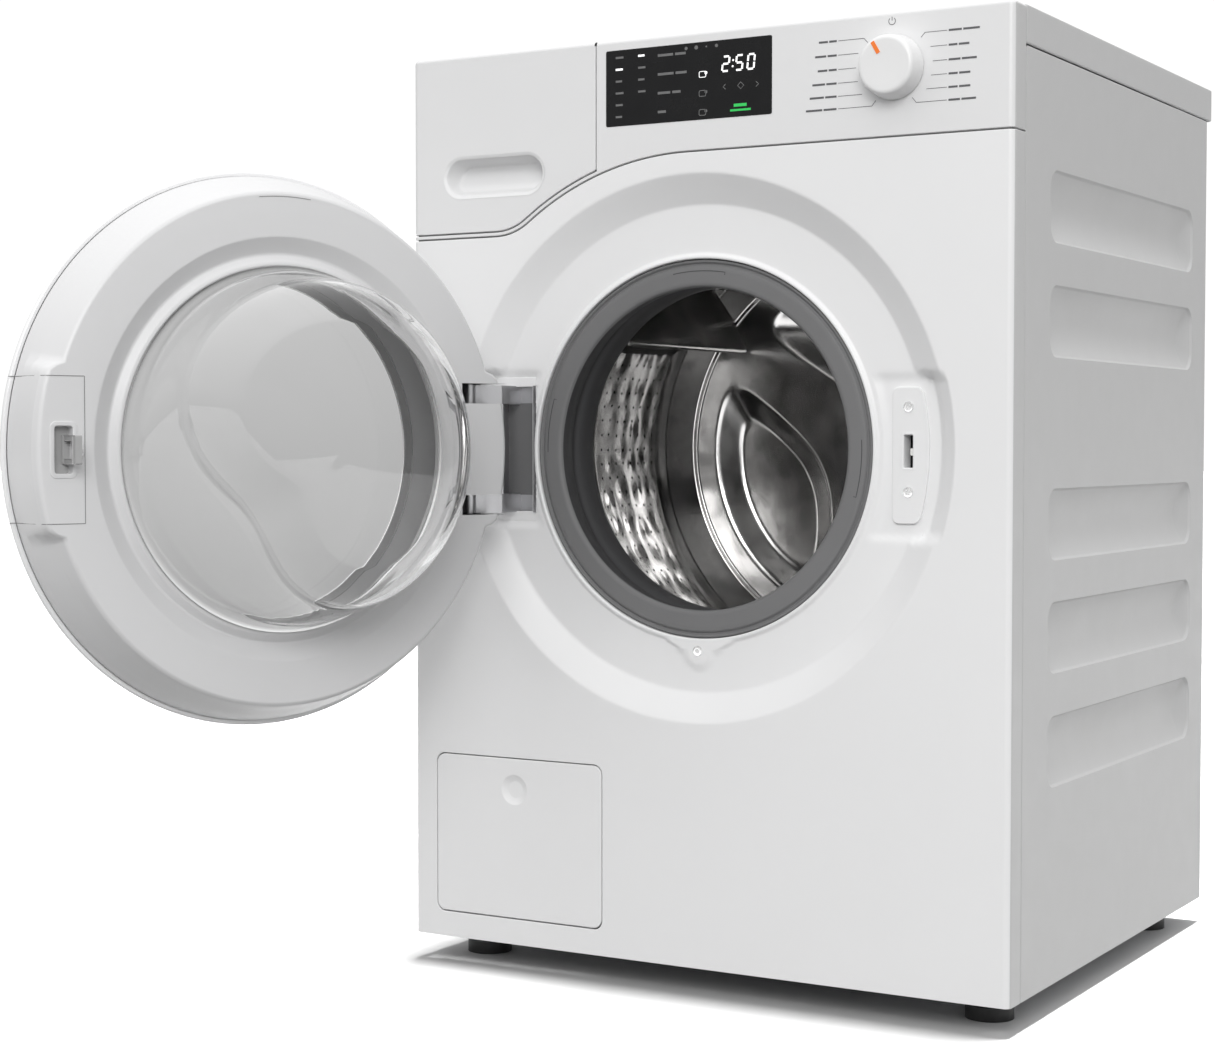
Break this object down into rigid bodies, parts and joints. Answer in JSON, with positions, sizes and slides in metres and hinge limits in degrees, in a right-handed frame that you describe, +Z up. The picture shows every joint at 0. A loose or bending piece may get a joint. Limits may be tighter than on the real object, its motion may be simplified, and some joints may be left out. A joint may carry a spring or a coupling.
{
  "type": "front load washing machine",
  "caption": "Free-standing front load washing machine with an open round door, steel drum on a sprung tub, corner detergent drawer, display, dial and service flap.",
  "frame": {"origin": "on the floor, under the middle of the front face of the cabinet", "axes": "+X to the right seen from the front, +Y from the front face to the back, +Z up"},
  "size_m": [0.6812, 1.0225, 0.85],
  "materials": {
    "zinc_steel": "bright zinc-coated sheet",
    "side_paint": "light grey enamel, fine orange peel",
    "front_paint": "white enamel, satin gloss",
    "front_paint_door": "white gloss moulding",
    "lid_plastic": "light grey laminate, satin",
    "fascia_plastic": "white moulding, soft gloss",
    "drawer_plastic": "white moulding, soft gloss",
    "display_black": "black gloss window",
    "circuit_board": "green laminate",
    "inner_plastic": "white moulding",
    "hinge_metal": "dark grey zinc casting",
    "screw_steel": "zinc-plated",
    "dark_plastic": "dark grey moulding",
    "black_plastic": "black moulding",
    "door_window_glass": "clear pane, grey tint",
    "frame_plastic": "light grey moulding, satin",
    "bowl_glass": "pressed clear glass",
    "hook_plastic": "grey moulding",
    "tub_plastic": "filled polypropylene, matt",
    "concrete": "cast concrete",
    "brushed_steel": "drawn tube",
    "bearing_steel": "ground steel",
    "black_rubber": "matt rubber",
    "motor_metal": "dark stove enamel",
    "gasket_rubber": "dark grey soft rubber",
    "spring_steel": "drawn steel",
    "drum_steel": "polished stainless steel",
    "cast_aluminium": "as cast",
    "dial_metal": "silver-white satin knob",
    "filter_plastic": "grey moulding",
    "foot_rubber": "black moulded foot"
  },
  "bodies": {
    "cabinet": {"base_pan": "zinc_steel", "side_panel_left": "side_paint", "side_panel_right": "side_paint", "rear_panel": "zinc_steel", "rear_cover": "zinc_steel", "front_panel": "front_paint", "lid": "lid_plastic", "control_fascia": "fascia_plastic", "display_window": "display_black", "control_board": "circuit_board", "dispenser_housing": "inner_plastic", "cross_braces": "zinc_steel", "hinge_bracket": "hinge_metal", "lock_module": "inner_plastic", "screws": "screw_steel", "inlet_valve": "inner_plastic", "pump_housing": "dark_plastic", "drain_outlet": "dark_plastic", "mains_inlet": "black_plastic"},
    "door": {"door_outer_cover": "front_paint_door", "door_window": "door_window_glass", "door_inner_frame": "frame_plastic", "door_glass": "bowl_glass", "hinge_pins": "screw_steel", "latch_plate": "frame_plastic"},
    "latch": {"latch_hook": "hook_plastic"},
    "tub": {"tub_front": "tub_plastic", "tub_rear": "tub_plastic", "front_counterweight": "concrete", "top_counterweight": "concrete", "heater": "brushed_steel", "bearings": "bearing_steel", "shaft_seal": "black_rubber", "motor_housing": "motor_metal", "door_gasket": "gasket_rubber", "gasket_clamp": "screw_steel", "sump_hose": "black_rubber", "suspension_springs": "spring_steel", "drive_belt": "black_rubber"},
    "drum": {"drum_shell": "drum_steel", "drum_rear_wall": "drum_steel", "drum_lifters": "drum_steel", "drum_spider": "cast_aluminium", "drum_shaft": "bearing_steel", "drum_pulley": "cast_aluminium"},
    "rotor": {"motor_rotor": "bearing_steel"},
    "damper_tube_left": {"damper_cylinder_left": "dark_plastic"},
    "damper_tube_right": {"damper_cylinder_right": "dark_plastic"},
    "damper_bar_left": {"damper_rod_left": "spring_steel"},
    "damper_bar_right": {"damper_rod_right": "spring_steel"},
    "drawer": {"drawer_front": "drawer_plastic", "drawer_tray": "inner_plastic"},
    "dial": {"dial_knob": "dial_metal"},
    "flap": {"service_flap": "front_paint"},
    "filter": {"drain_filter": "filter_plastic"},
    "impeller": {"pump_impeller": "dark_plastic"},
    "foot_fl": {"foot_front_left": "foot_rubber"},
    "foot_fr": {"foot_front_right": "foot_rubber"},
    "foot_rl": {"foot_rear_left": "foot_rubber"},
    "foot_rr": {"foot_rear_right": "foot_rubber"}
  },
  "joints": [
    {"name": "door_swing", "type": "hinge", "parent": "cabinet", "child": "door", "pos_m": [-0.215, -0.0295, 0.485], "axis": [0, 0, -1], "range_deg": [-110.7, 4.3]},
    {"name": "latch_turn", "type": "hinge", "parent": "door", "child": "latch", "pos_m": [-0.33784, -0.42672, 0.485], "axis": [0, 0, 1], "range_deg": [0, 10], "stiffness_Nm_per_rad": 0.6},
    {"name": "tub_bounce", "type": "slide", "parent": "cabinet", "child": "tub", "axis": [0, 0, 1], "range_m": [-0.008, 0.008], "stiffness_N_per_m": 40000, "springref_m": 0.00945, "deforming": ["suspension_springs", "door_gasket", "sump_hose"]},
    {"name": "drum_spin", "type": "hinge", "parent": "tub", "child": "drum", "pos_m": [0, 0.25, 0.485], "axis": [0, 1, 0], "continuous": true},
    {"name": "motor_spin", "type": "hinge", "parent": "tub", "child": "rotor", "pos_m": [0, 0.37, 0.165], "axis": [0, 1, 0], "continuous": true},
    {"name": "damper_left_tilt", "type": "hinge", "parent": "cabinet", "child": "damper_tube_left", "pos_m": [-0.175, 0.3, 0.072], "axis": [0, 1, 0], "range_deg": [-1.5, 1.5]},
    {"name": "damper_left_stroke", "type": "slide", "parent": "damper_tube_left", "child": "damper_bar_left", "axis": [0.3685, 0, 0.9296], "range_m": [-0.009, 0.009]},
    {"name": "damper_right_tilt", "type": "hinge", "parent": "cabinet", "child": "damper_tube_right", "pos_m": [0.175, 0.3, 0.072], "axis": [0, 1, 0], "range_deg": [-1.5, 1.5]},
    {"name": "damper_right_stroke", "type": "slide", "parent": "damper_tube_right", "child": "damper_bar_right", "axis": [-0.3685, 0, 0.9296], "range_m": [-0.009, 0.009]},
    {"name": "drawer_slide", "type": "slide", "parent": "cabinet", "child": "drawer", "axis": [0, -1, 0], "range_m": [0, 0.1]},
    {"name": "dial_turn", "type": "hinge", "parent": "cabinet", "child": "dial", "pos_m": [0.192, -0.01, 0.803], "axis": [0, -1, 0], "continuous": true},
    {"name": "flap_swing", "type": "hinge", "parent": "cabinet", "child": "flap", "pos_m": [-0.182, 0.005, 0.052], "axis": [1, 0, 0], "range_deg": [0, 80]},
    {"name": "filter_turn", "type": "hinge", "parent": "cabinet", "child": "filter", "pos_m": [-0.186, 0.06, 0.11], "axis": [0, -1, 0], "range_deg": [0, 90]},
    {"name": "impeller_spin", "type": "hinge", "parent": "cabinet", "child": "impeller", "pos_m": [-0.186, 0.13, 0.11], "axis": [0, 1, 0], "continuous": true},
    {"name": "foot_fl_turn", "type": "hinge", "parent": "cabinet", "child": "foot_fl", "pos_m": [-0.256, 0.065, 0.006], "axis": [0, 0, 1], "continuous": true},
    {"name": "foot_fr_turn", "type": "hinge", "parent": "cabinet", "child": "foot_fr", "pos_m": [0.256, 0.065, 0.006], "axis": [0, 0, 1], "continuous": true},
    {"name": "foot_rl_turn", "type": "hinge", "parent": "cabinet", "child": "foot_rl", "pos_m": [-0.256, 0.492, 0.006], "axis": [0, 0, 1], "continuous": true},
    {"name": "foot_rr_turn", "type": "hinge", "parent": "cabinet", "child": "foot_rr", "pos_m": [0.256, 0.492, 0.006], "axis": [0, 0, 1], "continuous": true}
  ],
  "couplings": [
    {"joint": "motor_spin", "follows": "drum_spin", "ratio": 12.5},
    {"joint": "damper_left_tilt", "follows": "tub_bounce", "rad_per_m": -2.0886},
    {"joint": "damper_left_stroke", "follows": "tub_bounce", "ratio": 0.92964},
    {"joint": "damper_right_tilt", "follows": "tub_bounce", "rad_per_m": 2.0886},
    {"joint": "damper_right_stroke", "follows": "tub_bounce", "ratio": 0.92964}
  ]
}
